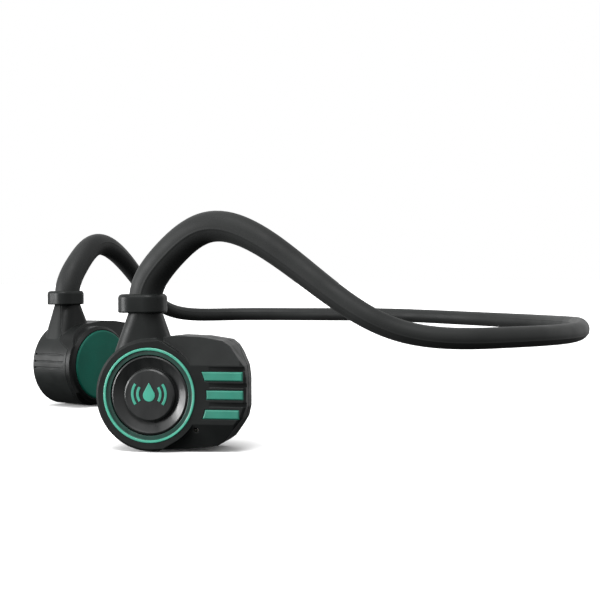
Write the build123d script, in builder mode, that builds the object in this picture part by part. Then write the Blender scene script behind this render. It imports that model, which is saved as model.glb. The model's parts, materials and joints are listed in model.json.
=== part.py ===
from build123d import *
import os
from math import cos, radians, sin

# Bone conduction headphones: two pods that press on the cheekbones in front of the ears, each hung
# from a tube that hooks over the ear and runs on as a band behind the head.
# Millimetres. +Z is up, -X is where the wearer faces, the left pod is at -Y.
# The origin is in the middle of the footprint, level with the lowest point of the pods.

# Whole object
pod_x = -52.5  # the pods' button axes, ahead of the middle of the footprint
pod_y = 46.0  # half the distance between the button axes, at the outer faces
toe_in = 32.5  # each outer face turns forward by this many degrees

# Pod body, u is rearward along the outer face, v is up, depth is inward from the outer face
face_radius = 10.4
pod_z = face_radius
wall = 1.3
body_depth = 13.6
taper_start, taper_knee, taper_end = 9.5, (16.2, 8.4), (19.5, 2.9)  # the inner side thins to the rear
taper_lean = 0.46  # keeps the wall even on the steep part of the taper
rear_outline = [
    (0, face_radius), (4.6, 10.9), (9.4, 10.7), (13.6, 10.0), (15.1, 9.1), (17.9, 5.5),
    (18.35, 3.4), (18.3, -2.0), (17.6, -4.0), (14.0, -8.4), (12.6, -9.3), (8.0, -9.9),
    (0, -face_radius),
]
slope_low, slope_high = -6.5, 5.0  # beyond these heights the inner side slopes back
slope_rise, slope_reach = 0.66, 8.0
facet_high, facet_low = 5.6, -5.2  # the flat field with the bars lies between these heights
facet_slope = 0.42
facet_reach = 6.0
boss_edge, boss_leaves = 9.8, 60  # the round boss, and where its edge runs off straight to the outline
edge_chamfer, turret_chamfer = 0.45, 0.7
beyond = 20  # a cut that clears the pod on every side
front_grooves = (2.9, 1.1, -0.5)  # heights of the grooves across the front wall
front_start, front_end, front_cut, front_height = 0.9, 11.4, 0.35, 0.4
fit = 0.05

# Neck and collar
neck_top = 15.2
neck_foot = 4.0
neck_foot_place, neck_foot_size = (-2.25, 5.0), (13.5, 9.0)
neck_place, neck_size = (-1.8, 3.9), (6.2, 6.2)
neck_corner = 2.8
collar_place, collar_size = (-2.3, 3.8), (8.8, 7.6)
collar_height, collar_corner, collar_top_edge, collar_low_edge = 3.5, 3.0, 0.8, 0.3
cable_hole_radius = 1.8

# Parting between the outer and the inner shell
parting_depth = body_depth - wall
parting_gap = 0.15
parting_line = [(4.2, 17.0), (7.9, 6.4), (parting_depth, 4.2)]  # (depth, height) down the neck
gasket_height, gasket_outset, gasket_inset = 0.6, 0.45, 0.95

# Turret, pad and transducer, all round the button axis
turret_radius, turret_depth = 9.7, 14.2
turret_hole = 7.9
pad_radius, pad_depth, pad_edge = 8.7, 14.9, 0.35
pad_back, pad_stem_radius = turret_depth + 0.15, 7.0
surround_depth, surround_thickness = 12.45, 0.7
plate_radius, plate_depth, plate_thickness = 7.2, 12.2, 0.8
coil_inner, coil_outer, coil_depth = 4.8, 5.4, 8.2
yoke_radius, yoke_depth, yoke_height, yoke_wall = 6.8, 6.9, 3.3, 0.8
magnet_radius, magnet_height = 4.3, 1.9
spring_depth, spring_thickness, spring_radius = 10.9, 0.2, 8.4
slot_radius, slot_width, slot_sweep = 6.9, 0.7, 84  # three curved slots free the spring's arms
frame_height = 2.4

# Button
button_radius, ring_inner, ring_outer = 7.3, 7.5, 8.8
disc_radius, disc_top, disc_side = 4.85, 0.1, 0.3
dish_floor, dish_rim, rim_top = 1.0, 0.6, 0.15
flange_radius, flange_depth, flange_thickness = 8.1, 2.0, 0.6
cap_inner, cap_underside = 6.5, 1.9
plunger_radius, plunger_depth = 1.2, 3.6
ring_seat, channel_top, crest_top, crest_width, crest_slope = 1.0, 0.15, 0.18, 0.45, 0.1
icon_depth, icon_proud = 0.25, 0.06
drop_radius, drop_side, drop_shoulder, drop_tip = 1.15, 1.0, 0.55, 2.35
arc_radii, arc_middle, arc_sweep, arc_width = (2.2, 3.2), 0.2, 72, 0.5
seal_radius, seal_depth, seal_height, seal_wall, seal_web = 8.3, 3.3, 0.9, 0.8, 0.3

# Boards
switch_depth, board_depth, board_thickness = 4.6, 5.4, 0.6
switch_side, switch_corner, stem_radius, stem_height = 3.4, 0.3, 0.8, 0.2
board_radius = 7.7
board_outline = [(0, 7.7), (12.2, 8.4), (14.9, 6.6), (15.6, -3.8), (12.0, -6.4), (0, -7.7)]
chips = [((10.6, 0.4), (5.2, 5.2)), ((14.1, 3.4), (1.6, 2.6)), ((7.6, -4.8), (3.0, 2.0))]
chip_height = 0.8
board_screws = [(9.8, 6.4), (11.8, -4.4)]
post_radius, post_start, screw_radius, screw_clearance = 1.3, 1.0, 0.45, 0.75
head_radius, head_height, screw_length = 0.95, 0.6, 3.2
battery_place, battery_size, battery_corner = (12.2, 0.9), (6.8, 10.8), 0.8
battery_depth, battery_thickness = 2.1, 4.2
microphone_place, microphone_size = (8.8, -6.3), (3.0, 2.2)
microphone_depth, microphone_height, port_radius = 2.6, 1.0, 0.5
charge_height, contact_pitch, contact_radius, contact_length = 0.6, 2.0, 0.6, 1.9
contact_proud = 0.1
magnet_pitch, magnet_sunk, charge_magnet_radius, charge_magnet_length = 10.0, 1.4, 1.3, 0.9

# Accent bars: height of each one's middle and where it ends along the face; they start on a circle
bar_height, bar_depth, bar_proud = 1.7, 0.9, 0.12
bars = [(3.6, 17.8), (0.2, 17.9), (-3.35, 17.1)]
bar_circle, bar_edge = 11.0, 0.2
bar_grooves = (4.95, 1.95, -1.55)
groove_width = 0.8
groove_start, groove_shallow, groove_end, groove_deep = 11.5, 0.05, 19.5, 1.25

# Band: centre line of the left half, from the collar to the middle of the band
hook_radius, rear_radius = 3.1, 1.9
thinning_from, thinning_length = 2.0, 70.0
channel_radius = 1.27
wire_radius, wire_offset = 0.6, 0.62
cable_radius, cable_offset = 0.5, -0.66
half_gap = 0.25
tail = 5.5  # how far the wire and the cable reach down into the neck
sleeve_foot, straight_foot = neck_top + 0.3, 2.5
route_points = [
    (-48.5, -45.3, 36.1),
    (-42.7, -51.2, 41.2),
    (-30.2, -62.6, 34.4),
    (-15.3, -75.2, 22.6),
    (2.9, -78.1, 21.1),
    (23.2, -69.4, 21.0),
    (39.8, -49.4, 21.1),
    (53.2, -26.6, 20.6),
]
route_end = (59.2, 20.3)  # x and z where the halves meet behind the head
tube_u, tube_depth = -1.7, 3.7
station_count, station_crowding = 26, 1.2  # stations lie closer together over the ear
collar_stations = 8  # the first stations, which pass through the collar

outward = Vector(-sin(radians(toe_in)), -cos(radians(toe_in)), 0)
rearward = Vector(cos(radians(toe_in)), -sin(radians(toe_in)), 0)
pod_face = Plane(origin=(pod_x, -pod_y, pod_z), x_dir=rearward, z_dir=outward)


def level(height):
    """A level plane through the pod: x is u, y is depth."""
    return Plane(pod_face.from_local_coords(Vector(0, height, 0)), x_dir=rearward, z_dir=(0, 0, 1))


def profile(u):
    """An upright plane across the pod: x is depth, y is height."""
    return Plane(pod_face.from_local_coords(Vector(u, 0, 0)), x_dir=-outward, z_dir=rearward)


def disc(radius, depth, thickness, hole=0):
    """A round plate or ring on the button axis, from depth inward."""
    with BuildPart() as made:
        with BuildSketch(pod_face.offset(-depth)):
            Circle(radius)
            if hole:
                Circle(hole, mode=Mode.SUBTRACT)
        extrude(amount=-thickness)
    return made.part


def taper(inset):
    """The line, as (u, depth), that the inner side follows as it thins towards the rear."""
    lean = taper_lean * inset
    return [
        (taper_start, body_depth - inset),
        (taper_knee[0] - lean, taper_knee[1] - inset),
        (taper_end[0] - lean, taper_end[1] - inset),
    ]


def pod_form(inset):
    """The closed outside form of a pod, or the cavity inside it where inset is the wall."""
    with BuildPart() as form:
        with BuildSketch(pod_face.offset(-inset)):
            Circle(face_radius)
            with BuildLine():
                Polyline(*rear_outline, close=True)
            make_face()
            if inset:
                offset(amount=-inset, mode=Mode.REPLACE)
        extrude(amount=2 * inset - body_depth)
        if not inset:
            chamfer(form.faces().sort_by(Axis(pod_face.origin, outward))[-1].edges(), edge_chamfer)
        # sloped facets above and below the field with the bars, outside the round boss
        with BuildSketch(profile(0)):
            for edge, way in ((facet_high, 1), (facet_low, -1)):
                with BuildLine():
                    Polyline(
                        (-1, edge),
                        (inset, edge),
                        (inset + facet_slope * facet_reach, edge + way * facet_reach),
                        (-1, edge + way * facet_reach),
                        close=True,
                    )
                make_face()
        facets = extrude(amount=beyond, mode=Mode.PRIVATE)
        with BuildSketch(pod_face.offset(1)):
            Circle(boss_edge - inset)
            for turn in (boss_leaves, -boss_leaves):
                touch = Vector(boss_edge - inset, 0).rotate(Axis.Z, turn)
                run = Vector(0, facet_reach if turn > 0 else -facet_reach).rotate(Axis.Z, turn)
                with BuildLine():
                    Polyline((0, 0), touch, touch + run, close=True)
                make_face()
        boss = extrude(amount=-parting_depth, mode=Mode.PRIVATE)
        add(facets - boss, mode=Mode.SUBTRACT)
        # the inner side slopes back above and below the turret
        with BuildSketch(profile(-beyond)):
            with BuildLine():
                Polyline(
                    (body_depth - inset, slope_high),
                    (body_depth - inset - slope_rise * slope_reach, slope_high + slope_reach),
                    (beyond, slope_high + slope_reach),
                    (beyond, slope_low - slope_reach),
                    (body_depth - inset - slope_rise * slope_reach, slope_low - slope_reach),
                    (body_depth - inset, slope_low),
                    close=True,
                )
            make_face()
        extrude(amount=2 * beyond, mode=Mode.SUBTRACT)
        # and it thins towards the rear
        with BuildSketch(level(-beyond)):
            with BuildLine():
                Polyline(
                    *taper(inset),
                    (taper_end[0] + beyond, taper_end[1] - inset),
                    (taper_end[0] + beyond, beyond),
                    (taper_start, beyond),
                    close=True,
                )
            make_face()
        extrude(amount=2 * beyond, mode=Mode.SUBTRACT)
    with BuildPart() as neck:
        for height, middle, size in (
            (neck_foot, neck_foot_place, neck_foot_size),
            (neck_top - inset, neck_place, neck_size),
        ):
            with BuildSketch(level(height)):
                with Locations(middle):
                    RectangleRounded(size[0] - 2 * inset, size[1] - 2 * inset, neck_corner - inset)
        loft()
    with BuildPart() as turret:
        with BuildSketch(pod_face.offset(-body_depth / 2)):
            Circle(turret_radius - inset)
        extrude(amount=-(turret_depth - inset - body_depth / 2))
        if not inset:
            chamfer(turret.faces().sort_by(Axis(pod_face.origin, -outward))[-1].edges(), turret_chamfer)
    return form.part + neck.part + turret.part


def inner_side(shift):
    """Everything that belongs to the inner shell, grown outward by shift."""
    with BuildPart() as region:
        with BuildSketch(profile(-beyond)):
            with BuildLine():
                Polyline(
                    (beyond, parting_line[0][1]),
                    *[(depth - shift, height) for depth, height in parting_line],
                    (parting_depth - shift, slope_low),
                    (parting_depth - shift - slope_rise * slope_reach, slope_low - slope_reach),
                    (beyond, slope_low - slope_reach),
                    close=True,
                )
            make_face()
        extrude(amount=2 * beyond)
        with BuildSketch(level(-beyond)):
            with BuildLine():
                Polyline(
                    *[(u, depth - shift) for u, depth in taper(wall)],
                    (taper_end[0] + beyond, taper_end[1] - wall - shift),
                    (taper_end[0] + beyond, beyond),
                    (taper_start, beyond),
                    close=True,
                )
            make_face()
        extrude(amount=2 * beyond)
    return region.part


def bar_outline(height, grow):
    """The three bars, seen from outside, on a plane at that height over the face."""
    with BuildSketch(pod_face.offset(height)) as outline:
        for middle, end in bars:
            start = bar_circle - bar_height
            with Locations(((start + end) / 2, middle)):
                Rectangle(end - start + 2 * grow, bar_height + 2 * grow)
        Circle(bar_circle - grow, mode=Mode.SUBTRACT)
    return outline.sketch


def mirrored(left_part):
    """The right-hand twin of a left part, across the wearer's middle."""
    return mirror(left_part, about=Plane.XZ)


form = pod_form(0)
cavity = pod_form(wall)
gasket_layer = pod_form(gasket_outset) - pod_form(gasket_inset)
cable_hole = Cylinder(cable_hole_radius, 4 * wall).moved(
    Location(level(neck_top)) * Pos(tube_u, tube_depth, 0)
)

# Outer shell: face, front wall, rear block and the outer part of the neck
with BuildPart() as outer_shell:
    add(form)
    add(cavity, mode=Mode.SUBTRACT)
    add(inner_side(parting_gap), mode=Mode.SUBTRACT)
    add(inner_side(gasket_height) & gasket_layer, mode=Mode.SUBTRACT)
    add(cable_hole, mode=Mode.SUBTRACT)
    # opening for the button, with a seat for the ring round it
    with BuildSketch(pod_face):
        Circle(ring_inner)
    extrude(amount=-2 * wall, mode=Mode.SUBTRACT)
    with BuildSketch(pod_face):
        Circle(ring_outer + fit)
    extrude(amount=-ring_seat, mode=Mode.SUBTRACT)
    # pockets for the bars
    extrude(bar_outline(1, fit), amount=-1 - bar_depth - fit, mode=Mode.SUBTRACT)
    # grooves between the bars, deeper towards the rear
    for middle in bar_grooves:
        with BuildSketch(level(middle - groove_width / 2)):
            with BuildLine():
                Polyline(
                    (groove_start, -1), (groove_start, groove_shallow),
                    (groove_end, groove_deep), (groove_end, -1), close=True,
                )
            make_face()
        extrude(amount=groove_width, mode=Mode.SUBTRACT)
    # three grooves across the front wall
    for middle in front_grooves:
        front = (face_radius**2 - middle**2) ** 0.5
        with BuildSketch(level(middle - front_height / 2)):
            with Locations((-front, (front_start + front_end) / 2)):
                Rectangle(2 * front_cut, front_end - front_start)
        extrude(amount=front_height, mode=Mode.SUBTRACT)

# Inner shell: the cover on the head's side, with the turret that holds the transducer
with BuildPart() as inner_shell:
    add(form & inner_side(0))
    add(cavity, mode=Mode.SUBTRACT)
    add(cable_hole, mode=Mode.SUBTRACT)
    with BuildSketch(pod_face.offset(-turret_depth)):
        Circle(turret_hole)
    extrude(amount=2 * wall, mode=Mode.SUBTRACT)

with BuildPart() as shell_gasket:
    add(inner_side(gasket_height) & gasket_layer)
    add(inner_side(0), mode=Mode.SUBTRACT)
    add(cable_hole, mode=Mode.SUBTRACT)

# Button: dished cap with a raised disc, retained by a flange behind the face
radial = Plane(pod_face.origin, x_dir=rearward, z_dir=(0, 0, -1))
button_axis = Axis(pod_face.origin, outward)
with BuildSketch(pod_face.offset(-disc_top - icon_depth)) as icon_outline:
    Circle(drop_radius)
    with BuildLine():
        Polyline((-drop_side, drop_shoulder), (0, drop_tip), (drop_side, drop_shoulder), close=True)
    make_face()
    for arc_radius in arc_radii:
        for middle in (0, 180):
            with BuildLine():
                CenterArc((0, arc_middle), arc_radius, middle - arc_sweep / 2, arc_sweep)
            trace(line_width=arc_width)
with BuildPart() as button_cap:
    with BuildSketch(radial):
        with BuildLine():
            Polyline(
                (0, -disc_top),
                (disc_radius - disc_side, -disc_top),
                (disc_radius, -disc_side),
                (disc_radius + rim_top, -dish_floor),
                (button_radius - dish_rim, -disc_side),
                (button_radius - disc_side, -rim_top),
                (button_radius, -disc_side),
                (button_radius, -flange_depth),
                (flange_radius, -flange_depth),
                (flange_radius, -flange_depth - flange_thickness),
                (cap_inner, -flange_depth - flange_thickness),
                (cap_inner, -cap_underside),
                (plunger_radius, -cap_underside),
                (plunger_radius, -plunger_depth),
                (0, -plunger_depth),
                close=True,
            )
        make_face()
    revolve(axis=button_axis)
    extrude(icon_outline.sketch, amount=1, mode=Mode.SUBTRACT)
with BuildPart() as button_icon:
    extrude(icon_outline.sketch, amount=icon_depth + icon_proud)

with BuildPart() as button_seal:
    add(disc(seal_radius, seal_depth, seal_height, hole=seal_radius - seal_wall))
    add(disc(seal_radius, seal_depth + seal_height, seal_web))

# Ring round the button: a low channel and a raised outer crest
with BuildPart() as accent_ring:
    with BuildSketch(radial):
        with BuildLine():
            Polyline(
                (ring_inner, -ring_seat),
                (ring_inner, -channel_top),
                (ring_outer - crest_width - crest_slope, -channel_top),
                (ring_outer - crest_width, crest_top),
                (ring_outer - crest_slope, crest_top),
                (ring_outer, crest_top - crest_slope),
                (ring_outer, -ring_seat),
                close=True,
            )
        make_face()
    revolve(axis=button_axis)

with BuildPart() as accent_bars:
    extrude(bar_outline(-bar_depth, 0), amount=bar_depth + bar_proud)
    chamfer(accent_bars.faces().group_by(Axis(pod_face.origin, outward))[-1].edges(), bar_edge)

with BuildPart() as tact_switch:
    with BuildSketch(pod_face.offset(-board_depth)):
        RectangleRounded(switch_side, switch_side, switch_corner)
    extrude(amount=board_depth - switch_depth - stem_height)
    with BuildSketch(pod_face.offset(-board_depth)):
        Circle(stem_radius)
    extrude(amount=board_depth - switch_depth)

# Transducer: yoke and magnet stand still, coil and plate shake the pad
with BuildPart() as transducer_yoke:
    add(disc(yoke_radius, yoke_depth, yoke_wall))
    add(disc(yoke_radius, yoke_depth + yoke_wall, yoke_height - yoke_wall, hole=yoke_radius - yoke_wall))
with BuildPart() as transducer_magnet:
    add(disc(magnet_radius, yoke_depth + yoke_wall, magnet_height))
with BuildPart() as transducer_frame:
    add(disc(spring_radius - fit, spring_depth - frame_height, frame_height, hole=yoke_radius + fit))
with BuildPart() as voice_coil:
    add(disc(coil_outer, coil_depth, plate_depth - coil_depth, hole=coil_inner))
with BuildPart() as suspension_spring:
    with BuildSketch(pod_face.offset(-spring_depth)):
        Circle(spring_radius - fit)
        Circle(coil_outer + fit, mode=Mode.SUBTRACT)
        for turn in range(3):
            with BuildLine():
                CenterArc((0, 0), slot_radius, turn * 120, slot_sweep)
            trace(line_width=slot_width, mode=Mode.SUBTRACT)
    extrude(amount=-spring_thickness)
with BuildPart() as vibration_plate:
    add(disc(plate_radius, plate_depth, plate_thickness))
with BuildPart() as pad_surround:
    add(disc(turret_hole - fit, surround_depth, surround_thickness, hole=plate_radius + fit))
with BuildPart() as contact_pad:
    plate_front = plate_depth + plate_thickness
    add(disc(pad_stem_radius, plate_front, pad_back - plate_front))
    add(disc(pad_radius, pad_back, pad_depth - pad_back))
    fillet(contact_pad.faces().sort_by(Axis(pod_face.origin, -outward))[-1].edges(), pad_edge)

# Boards and what is on them, at the level of the switch
board_underside = pod_face.offset(-board_depth - board_thickness)
with BuildPart() as main_board:
    with BuildSketch(pod_face.offset(-board_depth)):
        Circle(board_radius)
        with BuildLine():
            Polyline(*board_outline, close=True)
        make_face()
        with Locations(*board_screws):
            Circle(screw_clearance, mode=Mode.SUBTRACT)
    extrude(amount=-board_thickness)
with BuildPart() as main_chips:
    with BuildSketch(board_underside):
        for chip_place, chip_size in chips:
            with Locations(chip_place):
                Rectangle(*chip_size)
    extrude(amount=-chip_height)
with BuildPart() as button_board:
    add(disc(board_radius, board_depth, board_thickness))
with BuildPart() as battery:
    with BuildSketch(pod_face.offset(-battery_depth)):
        with Locations(battery_place):
            RectangleRounded(*battery_size, battery_corner)
    extrude(amount=-battery_thickness)
with BuildPart() as board_posts:
    with BuildSketch(pod_face.offset(-post_start)):
        with Locations(*board_screws):
            Circle(post_radius)
            Circle(screw_radius, mode=Mode.SUBTRACT)
    extrude(amount=post_start - board_depth)
with BuildPart() as board_screw_group:
    with BuildSketch(board_underside):
        with Locations(*board_screws):
            Circle(head_radius)
    extrude(amount=-head_height)
    with BuildSketch(board_underside):
        with Locations(*board_screws):
            Circle(screw_radius)
    extrude(amount=screw_length)
with BuildPart() as microphone:
    with BuildSketch(pod_face.offset(-microphone_depth)):
        with Locations(microphone_place):
            Rectangle(*microphone_size)
    extrude(amount=-microphone_height)

# Charging contacts and the magnets that hold the charging lead, in the sloped rear of the right pod
slope_start = pod_face.from_local_coords(Vector(taper_start, charge_height, -body_depth))
slope_end = pod_face.from_local_coords(Vector(taper_knee[0], charge_height, -taper_knee[1]))
slope_along = (slope_end - slope_start).normalized()
charge_normal = Vector(0, 0, 1).cross(slope_along)
charge_face = Plane((slope_start + slope_end) / 2, x_dir=(0, 0, 1), z_dir=charge_normal)
with BuildPart() as charge_contacts:
    with BuildSketch(charge_face.offset(contact_proud)):
        with GridLocations(contact_pitch, 0, 4, 1):
            Circle(contact_radius)
    extrude(amount=-contact_length)
with BuildPart() as charge_magnets:
    with BuildSketch(charge_face.offset(-magnet_sunk)):
        with GridLocations(magnet_pitch, 0, 2, 1):
            Circle(charge_magnet_radius)
    extrude(amount=-charge_magnet_length)
with BuildPart() as charging_inner_shell:
    add(inner_shell.part)
    with BuildSketch(charge_face):
        with GridLocations(contact_pitch, 0, 4, 1):
            Circle(contact_radius + fit)
    extrude(amount=-contact_length, both=True, mode=Mode.SUBTRACT)

# Left outer shell: the microphone's port and the posts for the board
with BuildPart() as microphone_outer_shell:
    add(outer_shell.part)
    add(board_posts.part)
    with BuildSketch(pod_face.offset(1)):
        with Locations(microphone_place):
            Circle(port_radius)
    extrude(amount=-1 - microphone_depth, mode=Mode.SUBTRACT)


# Band
def band_stations():
    """Planes square to the left half of the band, with how far along it each one is."""
    foot = level(sleeve_foot).from_local_coords(Vector(tube_u, tube_depth, 0))
    left = [foot, foot + Vector(0, 0, straight_foot)] + [Vector(*point) for point in route_points]
    right = [Vector(point.X, -point.Y, point.Z) for point in reversed(left)]
    route = Spline(*left, (route_end[0], 0, route_end[1]), *right)
    end = 0.5 - half_gap / route.length
    stations = [(0.0, foot, Vector(0, 0, 1))]
    for step in range(1, station_count):
        share = end * (step / station_count) ** station_crowding
        stations.append((share * route.length, route @ share, route % share))
    gap_edge = Vector(route_end[0], -half_gap, route_end[1])
    stations.append((end * route.length, gap_edge, Vector(0, 1, 0)))
    side = rearward
    planes = []
    for distance, point, heading in stations:
        side = (side - heading * side.dot(heading)).normalized()
        planes.append((distance, Plane(point, x_dir=side, z_dir=heading)))
    return planes


def sleeve_radius(distance):
    """The tube is thick over the ear and thins smoothly to the band behind the head."""
    share = min(max((distance - thinning_from) / thinning_length, 0), 1)
    return hook_radius - (hook_radius - rear_radius) * share * share * (3 - 2 * share)


def along_band(radius_at, offset=0, tail_length=0, last=None):
    """A round strand along the left half of the band, beside the centre line by offset."""
    stations = band_stations()
    if tail_length:
        foot = stations[0][1]
        stations = [(0, foot.offset(-tail_length)), (0, foot.offset(-tail_length / 2))] + stations
    with BuildPart() as strand:
        for distance, plane in stations[:last]:
            middle = plane.origin + plane.x_dir * offset
            with BuildSketch(Plane(middle, x_dir=plane.x_dir, z_dir=plane.z_dir)):
                Circle(radius_at(distance))
        loft()
    return strand.part


with BuildPart() as band_core_wire:
    add(along_band(lambda distance: wire_radius, wire_offset, tail))
with BuildPart() as band_cable:
    add(along_band(lambda distance: cable_radius, cable_offset, tail))

# Sleeve: the skin and the channel are two lofts, closed at each end by a ring-shaped face
skin = along_band(sleeve_radius)
channel = along_band(lambda distance: channel_radius)
with BuildPart() as band_sleeve:
    walls = [
        face
        for tube in (skin, channel)
        for face in tube.faces()
        if face.geom_type != GeomType.PLANE
    ]
    ends = [
        Face(outer.outer_wire(), [inner.outer_wire()])
        for outer, inner in zip(
            skin.faces().filter_by(GeomType.PLANE).sort_by(Axis.Y),
            channel.faces().filter_by(GeomType.PLANE).sort_by(Axis.Y),
        )
    ]
    add(Solid(Shell(walls + ends)))

# Collar: a square-shouldered ring that closes the neck round the foot of the tube
with BuildPart() as collar:
    with BuildSketch(level(neck_top)):
        with Locations(collar_place):
            RectangleRounded(*collar_size, collar_corner)
    extrude(amount=collar_height)
    fillet(collar.faces().sort_by(Axis.Z)[-1].edges(), collar_top_edge)
    fillet(collar.faces().sort_by(Axis.Z)[0].edges(), collar_low_edge)
    sleeve_bore = along_band(lambda distance: sleeve_radius(distance) + 2 * fit, last=collar_stations)
    add(sleeve_bore, mode=Mode.SUBTRACT)
    add(cable_hole, mode=Mode.SUBTRACT)

both_sides = {
    "outer_shell": outer_shell,
    "inner_shell": inner_shell,
    "shell_gasket": shell_gasket,
    "button_cap": button_cap,
    "button_icon": button_icon,
    "button_seal": button_seal,
    "tact_switch": tact_switch,
    "accent_ring": accent_ring,
    "accent_bars": accent_bars,
    "transducer_frame": transducer_frame,
    "transducer_yoke": transducer_yoke,
    "transducer_magnet": transducer_magnet,
    "voice_coil": voice_coil,
    "suspension_spring": suspension_spring,
    "vibration_plate": vibration_plate,
    "pad_surround": pad_surround,
    "contact_pad": contact_pad,
    "collar": collar,
    "band_sleeve": band_sleeve,
    "band_core_wire": band_core_wire,
    "band_cable": band_cable,
}
left_only = {
    "outer_shell": microphone_outer_shell,
    "main_board": main_board,
    "main_chips": main_chips,
    "board_screws": board_screw_group,
    "microphone": microphone,
}
right_only = {
    "inner_shell": charging_inner_shell,
    "button_board": button_board,
    "battery": battery,
    "charge_contacts": charge_contacts,
    "charge_magnets": charge_magnets,
}

os.makedirs("parts", exist_ok=True)
for name, made in (both_sides | left_only).items():
    piece = made.part
    piece.label = "left_" + name
    export_step(piece, f"parts/{piece.label}.step")
for name, made in (both_sides | right_only).items():
    piece = mirrored(made.part)
    piece.label = "right_" + name
    export_step(piece, f"parts/{piece.label}.step")
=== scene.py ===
import json
import math

import bmesh
import bpy
import numpy as np
from mathutils import Matrix, Vector


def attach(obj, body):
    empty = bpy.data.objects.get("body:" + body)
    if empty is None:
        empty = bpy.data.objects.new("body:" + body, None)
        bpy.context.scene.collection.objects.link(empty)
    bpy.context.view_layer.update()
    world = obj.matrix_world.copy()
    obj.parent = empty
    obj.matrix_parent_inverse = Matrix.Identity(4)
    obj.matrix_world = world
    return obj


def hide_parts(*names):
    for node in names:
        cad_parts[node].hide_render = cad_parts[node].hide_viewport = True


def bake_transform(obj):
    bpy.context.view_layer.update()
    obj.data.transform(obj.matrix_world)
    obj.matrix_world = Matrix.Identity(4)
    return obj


# Bone conduction headphones. Metres, in the CAD model's frame: +Z is up, -X is where the wearer
# faces, and the left pod is at -Y.
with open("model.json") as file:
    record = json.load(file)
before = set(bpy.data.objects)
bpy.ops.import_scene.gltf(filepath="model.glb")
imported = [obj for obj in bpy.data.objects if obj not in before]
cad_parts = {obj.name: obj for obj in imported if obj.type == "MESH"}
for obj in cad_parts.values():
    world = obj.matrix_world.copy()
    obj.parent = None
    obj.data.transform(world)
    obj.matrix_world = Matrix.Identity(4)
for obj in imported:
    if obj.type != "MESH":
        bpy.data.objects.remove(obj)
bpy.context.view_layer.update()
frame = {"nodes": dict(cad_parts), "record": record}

MM = 0.001
SIDES = ("left", "right")

# Pods: the pad mounts give each pod's axis, and these are depths and places from its outer face
PAD_DEPTH = 14.9 * MM
PAD_RADIUS = 8.7 * MM
PAD_BACK = 14.35 * MM
PAD_STEM_RADIUS = 7.0 * MM
PAD_STEM_BACK = 13.0 * MM
PAD_CROWN, PAD_RIM, PAD_BACK_EDGE = 0.22 * MM, 0.45 * MM, 0.12 * MM
PAD_ROLL_STEPS, PAD_FACE_STEPS = 6, 14
TIP_RADIUS = 0.02 * MM  # a turned outline closes to this, short of the axis
TUBE_ALONG, TUBE_DEPTH, TUBE_FOOT = -1.7 * MM, 3.7 * MM, 15.5 * MM

# Band: the centre line of its left half, from above the collar to behind the head
HOOK_RADIUS, REAR_RADIUS = 3.1 * MM, 1.9 * MM
TAPER_FROM, TAPER_LENGTH = 2.0 * MM, 70.0 * MM
CHANNEL_RADIUS = 1.27 * MM
WIRE_RADIUS, WIRE_OFFSET = 0.6 * MM, 0.62 * MM
CABLE_RADIUS, CABLE_OFFSET = 0.5 * MM, -0.66 * MM
STRAND_TAIL = 5.5 * MM
STRAIGHT_FOOT = 2.5 * MM
STATION_SPACING = 1.0 * MM
SEAM_HEIGHT, SEAM_SHARPNESS = 0.045 * MM, 0.0012
SEAM_WIDTH, SEAM_STEPS = 0.09, (0.3, 0.65)  # radians to each side of a seam, and the steps in it
SLEEVE_SIDES, STRAND_SIDES = 44, 16
ROUTE = (
    (-48.5, -45.3, 36.1),
    (-42.7, -51.2, 41.2),
    (-30.2, -62.6, 34.4),
    (-15.3, -75.2, 22.6),
    (2.9, -78.1, 21.1),
    (23.2, -69.4, 21.0),
    (39.8, -49.4, 21.1),
    (53.2, -26.6, 20.6),
)
ROUTE_MIDDLE = (59.2, 0, 20.3)

# Camera, with its place in millimetres
CAMERA_PLACE = (-102.45, -248.37, 31.61)
CAMERA_YAW, CAMERA_DIP, CAMERA_ROLL = 21.584, 1.055, -0.408
CAMERA_LENS, SENSOR = 67.35, 36.0
CLIP_NEAR, CLIP_FAR = 0.01, 100

# Floor and lights
FLOOR_RADIUS, FLOOR_SIDES, FLOOR_DROP = 9.0, 96, 0.0002
SUN_STRENGTH, SUN_SPREAD, SUN_HEADING = 3.6, 35, (0.25, 0.45, -1)
FRONT_LIGHT_PLACE, FRONT_LIGHT_SIZE, FRONT_LIGHT_POWER = (-700, 60, 60), 0.35, 12.0
LIGHT_TARGET = (0, 0, 20)


# ---- shader nodes ----------------------------------------------------------------------------

def add_node(tree, kind, settings=None, **inputs):
    """A node with its settings, and its inputs set to a value or linked from an output."""
    made = tree.nodes.new(kind)
    for name, value in (settings or {}).items():
        setattr(made, name, value)
    for name, value in inputs.items():
        socket = made.inputs[name.replace("_", " ")]
        if isinstance(value, bpy.types.NodeSocket):
            tree.links.new(value, socket)
        else:
            socket.default_value = value
    return made


def place(tree, stretch=(1, 1, 1)):
    """The point on the piece, in metres, stretched along an axis where the pattern is."""
    coordinates = add_node(tree, "ShaderNodeTexCoord").outputs["Object"]
    return add_node(tree, "ShaderNodeMapping", Vector=coordinates, Scale=stretch).outputs["Vector"]


def noise(tree, size, detail=2.0, stretch=(1, 1, 1)):
    """Soft random variation with features of about that size in metres."""
    where = place(tree, stretch)
    return add_node(
        tree, "ShaderNodeTexNoise", Vector=where, Scale=1 / size, Detail=detail
    ).outputs["Fac"]


def cells(tree, size, feature="F1"):
    """Distance to scattered points about that far apart."""
    return add_node(
        tree, "ShaderNodeTexVoronoi", {"feature": feature}, Vector=place(tree), Scale=1 / size
    ).outputs["Distance"]


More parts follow.
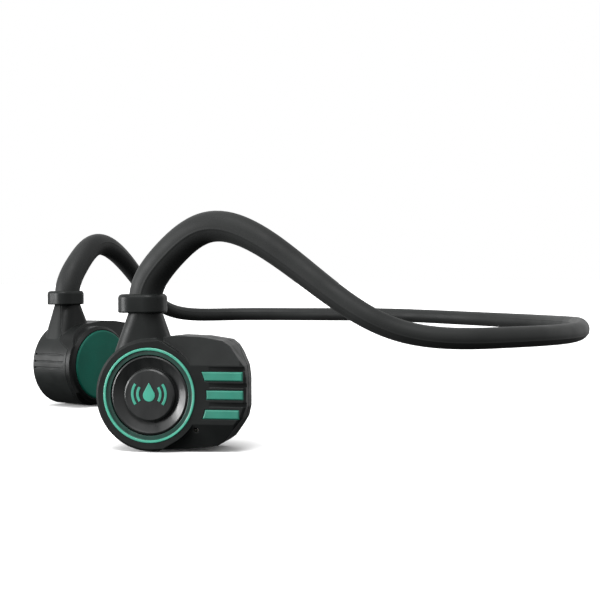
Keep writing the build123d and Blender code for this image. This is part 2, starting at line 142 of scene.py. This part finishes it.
def ramp(tree, value, *stops):
    """A colour that changes with value: each stop is a position and a colour."""
    made = add_node(tree, "ShaderNodeValToRGB", Fac=value)
    elements = made.color_ramp.elements
    while len(elements) < len(stops):
        elements.new(0.5)
    for element, (position, colour) in zip(elements, stops):
        element.position = position
        element.color = (*colour, 1)
    return made.outputs["Color"]


def spread(tree, value, low, high, start=0.3, end=0.7):
    """Value from start to end becomes low to high."""
    made = add_node(tree, "ShaderNodeMapRange", Value=value, From_Min=start, From_Max=end)
    made.inputs["To Min"].default_value = low
    made.inputs["To Max"].default_value = high
    return made.outputs["Result"]


def mix(tree, share, first, second, how="MIX"):
    """Two colours mixed by share."""
    made = add_node(tree, "ShaderNodeMix", {"data_type": "RGBA", "blend_type": how})
    for index, value in ((0, share), (6, first), (7, second)):
        if isinstance(value, bpy.types.NodeSocket):
            tree.links.new(value, made.inputs[index])
        else:
            made.inputs[index].default_value = value if index == 0 else (*value, 1)
    return made.outputs[2]


def arithmetic(tree, operation, first, second):
    """One number from two."""
    made = add_node(tree, "ShaderNodeMath", {"operation": operation})
    for index, value in enumerate((first, second)):
        if isinstance(value, bpy.types.NodeSocket):
            tree.links.new(value, made.inputs[index])
        else:
            made.inputs[index].default_value = value
    return made.outputs[0]


def softened(tree, width):
    """The normal as if every edge had that rounding, and how near an edge each point is."""
    rounded = add_node(tree, "ShaderNodeBevel", {"samples": 6}, Radius=width).outputs["Normal"]
    straight = add_node(tree, "ShaderNodeNewGeometry").outputs["Normal"]
    along = add_node(tree, "ShaderNodeVectorMath", {"operation": "DOT_PRODUCT"})
    tree.links.new(rounded, along.inputs[0])
    tree.links.new(straight, along.inputs[1])
    return rounded, spread(tree, along.outputs["Value"], 1.0, 0.0, 0.86, 0.995)


def raised(tree, height, depth, normal=None):
    """A normal that shows height as relief of that depth in metres."""
    made = add_node(tree, "ShaderNodeBump", Height=height, Distance=depth, Strength=1.0)
    if normal is not None:
        tree.links.new(normal, made.inputs["Normal"])
    return made.outputs["Normal"]


def surface(name, colour=None, roughness=None, normal=None, **plain):
    """A material; colour, roughness and normal are functions of its tree, the rest plain values."""
    made = bpy.data.materials.new(name)
    made.use_nodes = True
    tree = made.node_tree
    shader = tree.nodes["Principled BSDF"]
    for socket, build in (("Base Color", colour), ("Roughness", roughness), ("Normal", normal)):
        if build is not None:
            tree.links.new(build(tree), shader.inputs[socket])
    for socket, value in plain.items():
        shader.inputs[socket.replace("_", " ")].default_value = value
    return made


def tint(colour, by):
    """The colour, lighter or darker."""
    return tuple(min(1.0, channel * by) for channel in colour)


# ---- materials -------------------------------------------------------------------------------

def moulded_plastic(name, colour, roughness=0.42):
    """Injection-moulded plastic: spark-eroded grain, faint mottling and edges rubbed lighter."""
    grain, relief, specular, wear = 0.16 * MM, 0.012 * MM, 0.1, 2.4
    mottle, worn_edge, rounding = 5 * MM, 0.35 * MM, 0.22 * MM
    wear_patch, dust_pitch, gloss_patch = 2.4 * MM, 0.5 * MM, 3 * MM

    def colouring(tree):
        mottled = ramp(
            tree, noise(tree, mottle, 3), (0.3, tint(colour, 0.82)), (0.7, tint(colour, 1.2))
        )
        _, edge = softened(tree, worn_edge)
        rubbed = arithmetic(tree, "MULTIPLY", edge, spread(tree, noise(tree, wear_patch), 0.25, 0.9))
        speck = spread(tree, cells(tree, dust_pitch), 0.35, 0.0, 0.08, 0.16)
        dusted = mix(tree, speck, mottled, tint(colour, 1.7))
        return mix(tree, rubbed, dusted, tint(colour, wear))

    def finish(tree):
        return spread(tree, noise(tree, gloss_patch, 4), roughness - 0.07, roughness + 0.09)

    def relief_of(tree):
        rounded, _ = softened(tree, rounding)
        return raised(tree, noise(tree, grain, 2), relief, rounded)

    made = surface(name, colouring, finish, relief_of)
    made.node_tree.nodes["Principled BSDF"].inputs["Specular IOR Level"].default_value = specular
    return made


def gloss_plastic(name, colour, roughness, coat):
    """Polished plastic with fine wiping marks in its gloss."""
    mottle, wipe_mark, wipe_stretch = 4 * MM, 1.5 * MM, (1, 1, 0.25)
    rounding, ripple, ripple_depth = 0.15 * MM, 1.8 * MM, 0.006 * MM
    coat_roughness, specular = 0.12, 0.25

    def colouring(tree):
        return ramp(
            tree, noise(tree, mottle, 3), (0.3, tint(colour, 0.85)), (0.7, tint(colour, 1.15))
        )

    def finish(tree):
        wiped = noise(tree, wipe_mark, 5, wipe_stretch)
        return spread(tree, wiped, roughness * 0.7, roughness * 1.5)

    def relief_of(tree):
        rounded, _ = softened(tree, rounding)
        return raised(tree, noise(tree, ripple, 1), ripple_depth, rounded)

    made = surface(name, colouring, finish, relief_of)
    shader = made.node_tree.nodes["Principled BSDF"]
    shader.inputs["Coat Weight"].default_value = coat
    shader.inputs["Coat Roughness"].default_value = coat_roughness
    shader.inputs["Specular IOR Level"].default_value = specular
    return made


def silicone(name, colour, roughness=0.55, sheen=0.04, specular=0.12, relief=0.014 * MM):
    """Matte silicone: a dusty sheen, pin-prick pores and soft cloudy wear."""
    cloud, lint_pitch, handled_patch, pore = 9 * MM, 0.9 * MM, 6 * MM, 0.22 * MM
    sheen_roughness = 0.45

    def colouring(tree):
        cloudy = ramp(
            tree, noise(tree, cloud, 4), (0.3, tint(colour, 0.84)), (0.7, tint(colour, 1.18))
        )
        lint = spread(tree, cells(tree, lint_pitch), 0.5, 0.0, 0.05, 0.12)
        return mix(tree, lint, cloudy, tint(colour, 1.9))

    def finish(tree):
        return spread(tree, noise(tree, handled_patch, 4), roughness - 0.08, roughness + 0.1)

    def relief_of(tree):
        return raised(tree, noise(tree, pore, 3), relief)

    made = surface(name, colouring, finish, relief_of)
    shader = made.node_tree.nodes["Principled BSDF"]
    shader.inputs["Sheen Weight"].default_value = sheen
    shader.inputs["Sheen Roughness"].default_value = sheen_roughness
    shader.inputs["Specular IOR Level"].default_value = specular
    return made


def metal(name, colour, roughness=0.28, stretch=(1, 1, 12), mark=0.35 * MM):
    """Metal with fine drawn or ground marks and a little tarnish."""
    tarnish, mark_depth = 2.5 * MM, 0.004 * MM

    def colouring(tree):
        return ramp(tree, noise(tree, tarnish, 3), (0.3, tint(colour, 0.8)), (0.7, colour))

    def finish(tree):
        return spread(tree, noise(tree, mark, 2, stretch), roughness * 0.7, roughness * 1.4)

    def relief_of(tree):
        return raised(tree, noise(tree, mark, 2, stretch), mark_depth)

    return surface(name, colouring, finish, relief_of, Metallic=1.0)


def coil_winding(name, inward):
    """Enamelled wire wound in layers: fine ridges one above the other along the coil's axis."""
    wire, ridge, patch = 0.12 * MM, 0.02 * MM, 1 * MM
    shadowed, lit = (0.2, 0.06, 0.02), (0.62, 0.25, 0.1)

    def turns(tree):
        along = add_node(tree, "ShaderNodeVectorMath", {"operation": "DOT_PRODUCT"})
        tree.links.new(place(tree), along.inputs[0])
        along.inputs[1].default_value = inward * (math.tau / wire)
        return arithmetic(tree, "SINE", along.outputs["Value"], 0)

    def colouring(tree):
        return ramp(tree, spread(tree, turns(tree), 0, 1, -1, 1), (0.1, shadowed), (0.8, lit))

    def relief_of(tree):
        return raised(tree, turns(tree), ridge)

    def finish(tree):
        return spread(tree, noise(tree, patch), 0.22, 0.38)

    return surface(name, colouring, finish, relief_of, Metallic=1.0)


def circuit_board(name, rearward):
    """Solder mask over copper tracks, with tinned pads."""
    track_pitch, pad_pitch, pad_relief, patch = 2.4 * MM, 1.3 * MM, 0.02 * MM, 1 * MM
    mask, lighter_mask, track = (0.004, 0.07, 0.025, 1), (0.006, 0.1, 0.035, 1), (0.02, 0.24, 0.08, 1)
    tinned = (0.75, 0.62, 0.3)

    def colouring(tree):
        turned = add_node(tree, "ShaderNodeMapping", Vector=place(tree))
        heading = math.atan2(rearward.y, rearward.x)
        turned.inputs["Rotation"].default_value = (math.radians(90), 0, -heading)
        tracks = add_node(
            tree, "ShaderNodeTexBrick", Vector=turned.outputs["Vector"], Scale=1 / track_pitch,
            Color1=mask, Color2=lighter_mask, Mortar=track,
        ).outputs["Color"]
        pads = spread(tree, cells(tree, pad_pitch), 1.0, 0.0, 0.1, 0.13)
        return mix(tree, pads, tracks, tinned)

    def finish(tree):
        return spread(tree, noise(tree, patch), 0.25, 0.4)

    def relief_of(tree):
        return raised(tree, cells(tree, pad_pitch), pad_relief)

    return surface(name, colouring, finish, relief_of)


def battery_wrap(name):
    """Crinkled laminated foil."""
    cloud, patch, crinkle, crinkle_depth = 2 * MM, 1.2 * MM, 1.6 * MM, 0.12 * MM
    dull, bright = (0.5, 0.5, 0.52), (0.72, 0.72, 0.74)

    def colouring(tree):
        return ramp(tree, noise(tree, cloud, 4), (0.35, dull), (0.65, bright))

    def finish(tree):
        return spread(tree, noise(tree, patch, 3), 0.25, 0.45)

    def relief_of(tree):
        return raised(tree, noise(tree, crinkle, 5), crinkle_depth)

    return surface(name, colouring, finish, relief_of, Metallic=0.9)


def ring_with_painted_light(name, inward, face_centre):
    """Teal ring with painted light: painted shade turns its low channel dark green, and a painted
    highlight turns its raised crest bright teal.
    """
    # Colours of the painted shade in the channel and of the painted highlight on the crest.
    channel_shade_green, bright = (0.002, 0.024, 0.017), (0.047, 0.27, 0.19)
    channel_level, crest_level = -0.1 * MM, 0.12 * MM
    wear_patch, gloss_patch, rounding = 1.6 * MM, 1.2 * MM, 0.12 * MM
    grain, relief = 0.2 * MM, 0.006 * MM

    def height(tree):
        along = add_node(tree, "ShaderNodeVectorMath", {"operation": "DOT_PRODUCT"})
        tree.links.new(place(tree), along.inputs[0])
        along.inputs[1].default_value = -inward
        face_height = -inward.dot(face_centre)
        return arithmetic(tree, "SUBTRACT", along.outputs["Value"], face_height)

    def colouring(tree):
        # Colour by height above the face: painted shade low in the channel, painted highlight high on
        # the crest.
        crest = spread(tree, height(tree), 0, 1, channel_level, crest_level)
        painted = ramp(tree, crest, (0.0, channel_shade_green), (0.55, tint(bright, 0.55)), (1.0, bright))
        worn = spread(tree, noise(tree, wear_patch, 4), 0.0, 0.3, 0.45, 0.75)
        return mix(tree, worn, painted, tint(channel_shade_green, 2.2))

    def finish(tree):
        return spread(tree, noise(tree, gloss_patch, 3), 0.26, 0.42)

    def relief_of(tree):
        rounded, _ = softened(tree, rounding)
        return raised(tree, noise(tree, grain), relief, rounded)

    return surface(name, colouring, finish, relief_of)


# ---- pods ------------------------------------------------------------------------------------

class Pod:
    """One pod's axis and directions, read from its pad mount."""

    def __init__(self, side):
        mount = next(m for m in frame["record"]["mounts"] if m["name"] == side + "_pad")
        self.side = side
        self.inward = Vector(mount["axis"]).normalized()
        self.pad_centre = Vector(mount["pos_m"])
        self.face_centre = self.pad_centre - self.inward * PAD_DEPTH
        self.up = Vector((0, 0, 1))
        self.rearward = Vector((abs(self.inward.y), -self.inward.x * math.copysign(1, self.inward.y), 0))

    def point(self, along, height, depth):
        return self.face_centre + self.rearward * along + self.up * height + self.inward * depth


def paint_nodes(pod):
    """Every CAD node of a pod gets its own material."""
    side = pod.side
    charcoal = (0.0085, 0.0094, 0.0092)
    looks = {
        "outer_shell": moulded_plastic(side + "_outer_plastic", charcoal),
        "inner_shell": moulded_plastic(side + "_inner_plastic", tint(charcoal, 0.62), 0.38),
        "collar": moulded_plastic(side + "_collar_plastic", tint(charcoal, 1.05), 0.36),
        "transducer_frame": moulded_plastic(side + "_frame_plastic", tint(charcoal, 0.8), 0.5),
        "button_cap": gloss_plastic(side + "_button_gloss", (0.0085, 0.0092, 0.0092), 0.38, 0.1),
        "button_icon": gloss_plastic(side + "_icon_teal", (0.036, 0.225, 0.16), 0.36, 0.06),
        "accent_bars": gloss_plastic(side + "_bar_teal", (0.02, 0.14, 0.1), 0.4, 0.06),
        "accent_ring": ring_with_painted_light(side + "_ring_teal", pod.inward, pod.face_centre),
        "shell_gasket": silicone(side + "_gasket_rubber", (0.008, 0.008, 0.008)),
        "button_seal": silicone(side + "_seal_rubber", (0.012, 0.012, 0.012)),
        "pad_surround": silicone(side + "_surround_rubber", (0.01, 0.011, 0.011), 0.5),
        "tact_switch": metal(side + "_switch_metal", (0.62, 0.62, 0.63)),
        "transducer_yoke": metal(side + "_yoke_steel", (0.5, 0.5, 0.5), 0.3),
        "vibration_plate": metal(side + "_plate_steel", (0.55, 0.55, 0.55), 0.35),
        "suspension_spring": metal(side + "_spring_steel", (0.66, 0.65, 0.62), 0.2),
        "transducer_magnet": metal(
            side + "_magnet_nickel", (0.72, 0.71, 0.68), 0.14, (1, 1, 1), 1.5 * MM
        ),
        "voice_coil": coil_winding(side + "_coil_copper", pod.inward),
    }
    only = {
        "left": {
            "main_board": circuit_board("main_board_mask", pod.rearward),
            "main_chips": moulded_plastic("chip_epoxy", (0.012, 0.012, 0.013), 0.5),
            "board_screws": metal("screw_steel", (0.6, 0.6, 0.6), 0.22),
            "microphone": metal("microphone_can", (0.7, 0.68, 0.6), 0.25),
        },
        "right": {
            "button_board": circuit_board("button_board_mask", pod.rearward),
            "battery": battery_wrap("battery_foil_wrap"),
            "charge_contacts": metal("contact_gold", (0.9, 0.62, 0.22), 0.18),
            "charge_magnets": metal("charge_magnet_nickel", (0.7, 0.69, 0.67), 0.16),
        },
    }
    for name, look in {**looks, **only[side]}.items():
        node = frame["nodes"][f"{side}_{name}"]
        node.data.materials.clear()
        node.data.materials.append(look)


# ---- meshes ----------------------------------------------------------------------------------

def mesh_piece(name, vertices, faces, look, smooth_angle=None):
    """A new object from vertices and faces, shaded smooth up to an angle."""
    mesh = bpy.data.meshes.new(name)
    mesh.from_pydata([tuple(v) for v in vertices], [], faces)
    mesh.materials.append(look)
    for polygon in mesh.polygons:
        polygon.use_smooth = True
    if smooth_angle is not None:
        mesh.set_sharp_from_angle(angle=math.radians(smooth_angle))
    made = bpy.data.objects.new(name, mesh)
    bpy.context.scene.collection.objects.link(made)
    tidy_normals(made)
    return made


def tidy_normals(piece):
    """All faces look outward."""
    work = bmesh.new()
    work.from_mesh(piece.data)
    bmesh.ops.recalc_face_normals(work, faces=work.faces)
    work.to_mesh(piece.data)
    work.free()


def rings_to_faces(count, around, looped):
    """Quads between rings of equal size, with end caps unless the rings make a loop."""
    faces = []
    for ring in range(count if looped else count - 1):
        following = (ring + 1) % count
        for step in range(around):
            side = (step + 1) % around
            near, far = ring * around, following * around
            faces.append((near + step, near + side, far + side, far + step))
    if not looped:
        faces.append(tuple(range(around)))
        faces.append(tuple(range((count - 1) * around, count * around)))
    return faces


def turned(name, pod, outline, look, around=96):
    """A closed body turned about the pod's axis: outline is a list of (radius, depth)."""
    vertices = []
    for radius, depth in outline:
        for step in range(around):
            angle = math.tau * step / around
            vertices.append(pod.point(radius * math.cos(angle), radius * math.sin(angle), depth))
    return mesh_piece(name, vertices, rings_to_faces(len(outline), around, False), look, 50)


# ---- band ------------------------------------------------------------------------------------

def smooth_line(points, spacing):
    """Closely spaced points on the cubic curve, smooth in its curvature, through a few points."""
    points = np.array(points, float)
    spans = np.linalg.norm(np.diff(points, axis=0), axis=1)
    count = len(points)
    system, target = np.zeros((count, count)), np.zeros((count, 3))
    steps = np.diff(points, axis=0) / spans[:, None]
    system[0, 0] = system[-1, -1] = 1
    target[0], target[-1] = steps[0], steps[-1]
    for i in range(1, count - 1):
        before, after = spans[i - 1], spans[i]
        system[i, i - 1 : i + 2] = after, 2 * (before + after), before
        target[i] = 3 * (after * steps[i - 1] + before * steps[i])
    slopes = np.linalg.solve(system, target)
    line = []
    for i in range(count - 1):
        for t in np.arange(0, 1, 1 / max(2, round(spans[i] / spacing))):
            line.append(
                (1 + 2 * t) * (1 - t) ** 2 * points[i]
                + t * t * (3 - 2 * t) * points[i + 1]
                + spans[i] * t * (1 - t) * ((1 - t) * slopes[i] - t * slopes[i + 1])
            )
    line.append(points[-1])
    return [Vector(point) for point in line]


def band_stations(pod, tail):
    """Places along the whole band: distance from the nearer collar, point, two cross directions."""
    foot = pod.point(TUBE_ALONG, TUBE_FOOT, TUBE_DEPTH)
    left = [foot, foot + pod.up * STRAIGHT_FOOT] + [Vector(point) * MM for point in ROUTE]
    right = [Vector((p.x, -p.y, p.z)) for p in reversed(left)]
    line = smooth_line(left + [Vector(ROUTE_MIDDLE) * MM] + right, STATION_SPACING)
    half = line[: len(line) // 2 + 1]
    side, travelled, stations = pod.rearward, 0.0, []
    if tail:
        for down in (tail, tail / 2):
            across = pod.up.cross(side).normalized()
            stations.append((0.0, foot - pod.up * down, side, across))
    for i, point in enumerate(half):
        heading = (line[i + 1] - line[max(i - 1, 0)]).normalized() if i else pod.up
        side = (side - heading * side.dot(heading)).normalized()
        travelled += (point - half[i - 1]).length if i else 0
        stations.append((travelled, point, side, heading.cross(side).normalized()))
    other = [
        (distance, flipped(point), flipped(across), flipped(up))
        for distance, point, across, up in reversed(stations[:-1])
    ]
    return stations + other


def flipped(vector):
    """Mirrored to the other side of the wearer's middle."""
    return Vector((vector.x, -vector.y, vector.z))


def sleeve_radius(distance):
    """The tube is thick over the ear and thins smoothly to the band behind the head."""
    share = min(max((distance - TAPER_FROM) / TAPER_LENGTH, 0), 1)
    return HOOK_RADIUS - (HOOK_RADIUS - REAR_RADIUS) * share * share * (3 - 2 * share)


def band_ring(station, radius, angles, seam=0.0, offset=0.0):
    """One ring of a strand, with a raised mould seam along two sides."""
    _, point, side, across = station
    ring = []
    for angle in angles:
        ridge = seam * math.exp(-(((abs(math.sin(angle)) - 1) / SEAM_SHARPNESS) ** 2))
        reach = radius + ridge
        sideways, crosswise = offset + reach * math.cos(angle), reach * math.sin(angle)
        ring.append(point + side * sideways + across * crosswise)
    return ring


def seam_angles(count):
    """Even steps round a ring, with more of them at the two seams."""
    even = [math.tau * step / count for step in range(count)]
    close = [
        seam + side * SEAM_WIDTH * share
        for seam in (math.pi / 2, math.pi * 1.5)
        for side in (-1, 1)
        for share in SEAM_STEPS
    ]
    return sorted(even + close)


def make_band(pod):
    """One continuous sleeve, core wire and cable that bend where the band does."""
    stations = band_stations(pod, 0)
    angles = seam_angles(SLEEVE_SIDES)
    outside = [band_ring(s, sleeve_radius(s[0]), angles, seam=SEAM_HEIGHT) for s in stations]
    inside = [band_ring(s, CHANNEL_RADIUS, angles) for s in reversed(stations)]
    rings = outside + inside
    sleeve = mesh_piece(
        "band_sleeve_skin",
        [v for ring in rings for v in ring],
        rings_to_faces(len(rings), len(angles), True),
        silicone("band_silicone", (0.0125, 0.0133, 0.0131)),
        60,
    )
    stand_for(sleeve, "band_sleeve")

    round_angles = [math.tau * step / STRAND_SIDES for step in range(STRAND_SIDES)]
    strand_stations = band_stations(pod, STRAND_TAIL)
    wire_look = metal("core_wire_metal", (0.5, 0.49, 0.46), 0.3)
    cable_look = silicone("cable_rubber", (0.02, 0.02, 0.02))
    strands = (
        ("band_core_wire", WIRE_RADIUS, WIRE_OFFSET, "memory_wire", wire_look),
        ("band_cable", CABLE_RADIUS, CABLE_OFFSET, "cable_jacket", cable_look),
    )
    for node, radius, offset, slot, look in strands:
        rings = [band_ring(s, radius, round_angles, offset=offset) for s in strand_stations]
        strand = mesh_piece(
            node + "_whole",
            [v for ring in rings for v in ring],
            rings_to_faces(len(rings), len(round_angles), False),
            look,
            60,
        )
        stand_for(strand, node)


def stand_for(piece, node):
    """A band piece replaces its two CAD halves, which are hidden, and its placement is baked into its
    points.
    """
    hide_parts("left_" + node, "right_" + node)
    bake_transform(piece)


def make_pad(pod):
    """The cheek pad: a soft crowned disc with a rolled rim, on the stem that holds it."""
    flat_radius = PAD_RADIUS - PAD_RIM
    outline = [
        (TIP_RADIUS, PAD_STEM_BACK),
        (PAD_STEM_RADIUS, PAD_STEM_BACK),
        (PAD_STEM_RADIUS, PAD_BACK),
        (PAD_RADIUS - PAD_BACK_EDGE, PAD_BACK),
        (PAD_RADIUS, PAD_BACK + PAD_BACK_EDGE),
    ]
    for step in range(PAD_ROLL_STEPS + 1):
        angle = math.pi / 2 * step / PAD_ROLL_STEPS
        roll_depth = PAD_DEPTH - PAD_CROWN - PAD_RIM + PAD_RIM * math.sin(angle)
        outline.append((flat_radius + PAD_RIM * math.cos(angle), roll_depth))
    for step in range(1, PAD_FACE_STEPS + 1):
        share = 1 - step / PAD_FACE_STEPS
        outline.append((max(flat_radius * share, TIP_RADIUS), PAD_DEPTH - PAD_CROWN * share * share))
    pad = turned(
        pod.side + "_pad_skin", pod, outline,
        silicone(pod.side + "_pad_teal", (0.0012, 0.062, 0.043), 0.46, 0.02, 0.15, 0.02 * MM),
    )
    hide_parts(pod.side + "_contact_pad")
    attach(pad, pod.side + "_half")


# ---- stage -----------------------------------------------------------------------------------

def make_camera():
    camera = bpy.data.objects.new("camera", bpy.data.cameras.new("camera"))
    camera.data.lens, camera.data.sensor_width = CAMERA_LENS, SENSOR
    camera.data.clip_start, camera.data.clip_end = CLIP_NEAR, CLIP_FAR
    yaw, dip, roll = (math.radians(a) for a in (CAMERA_YAW, CAMERA_DIP, CAMERA_ROLL))
    ahead = Vector((math.sin(yaw) * math.cos(dip), math.cos(yaw) * math.cos(dip), -math.sin(dip)))
    level_right = Vector((math.cos(yaw), -math.sin(yaw), 0))
    right = level_right * math.cos(roll) + level_right.cross(ahead) * math.sin(roll)
    turn = Matrix((right, right.cross(ahead), -ahead)).transposed()
    camera.matrix_world = Matrix.Translation(Vector(CAMERA_PLACE) * MM) @ turn.to_4x4()
    bpy.context.scene.collection.objects.link(camera)
    bpy.context.scene.camera = camera


def make_floor():
    """A wide pale floor just under the pods."""
    vertices = [Vector((0, 0, -FLOOR_DROP))]
    for step in range(FLOOR_SIDES):
        angle = math.tau * step / FLOOR_SIDES
        edge = FLOOR_RADIUS * math.cos(angle), FLOOR_RADIUS * math.sin(angle)
        vertices.append(Vector((*edge, -FLOOR_DROP)))
    faces = [(0, i + 1, (i + 1) % FLOOR_SIDES + 1) for i in range(FLOOR_SIDES)]

    def colouring(tree):
        return ramp(tree, noise(tree, 0.3, 2), (0.3, (0.86, 0.86, 0.86)), (0.7, (0.9, 0.9, 0.9)))

    floor = mesh_piece("floor", vertices, faces, surface("floor_paint", colouring, Roughness=0.9))
    floor.visible_glossy = False
    floor.visible_diffuse = False


def make_sky():
    """Even white light from above and all round, and little from below."""
    world = bpy.data.worlds.new("studio")
    world.use_nodes = True
    tree = world.node_tree
    height = add_node(tree, "ShaderNodeSeparateXYZ")
    tree.links.new(add_node(tree, "ShaderNodeTexCoord").outputs["Generated"], height.inputs[0])
    share = spread(tree, height.outputs["Z"], 0, 1, -0.3, -0.03)
    tree.links.new(
        ramp(tree, share, (0.0, (0.03, 0.03, 0.03)), (1.0, (1.0, 1.0, 1.0))),
        tree.nodes["Background"].inputs["Color"],
    )
    bpy.context.scene.world = world
    bpy.context.scene.view_settings.view_transform = "Standard"


def make_sun():
    """A broad high light that falls evenly over the whole floor."""
    sun = bpy.data.lights.new("high_light", "SUN")
    sun.energy, sun.angle = SUN_STRENGTH, math.radians(SUN_SPREAD)
    lamp = bpy.data.objects.new("high_light", sun)
    lamp.rotation_mode = "QUATERNION"
    lamp.rotation_quaternion = Vector(SUN_HEADING).to_track_quat("-Z", "Y")
    bpy.context.scene.collection.objects.link(lamp)


def soft_box(name, place_mm, size, power):
    """A square area light aimed at the object."""
    light = bpy.data.lights.new(name, "AREA")
    light.size, light.energy = size, power
    lamp = bpy.data.objects.new(name, light)
    lamp.location = Vector(place_mm) * MM
    target = Vector(LIGHT_TARGET) * MM
    lamp.rotation_mode = "QUATERNION"
    lamp.rotation_quaternion = (target - lamp.location).to_track_quat("-Z", "Y")
    bpy.context.scene.collection.objects.link(lamp)


make_camera()
make_floor()
make_sky()
make_sun()
soft_box("front_light", FRONT_LIGHT_PLACE, FRONT_LIGHT_SIZE, FRONT_LIGHT_POWER)

pods = {side: Pod(side) for side in SIDES}
for pod in pods.values():
    paint_nodes(pod)
    make_pad(pod)
make_band(pods["left"])
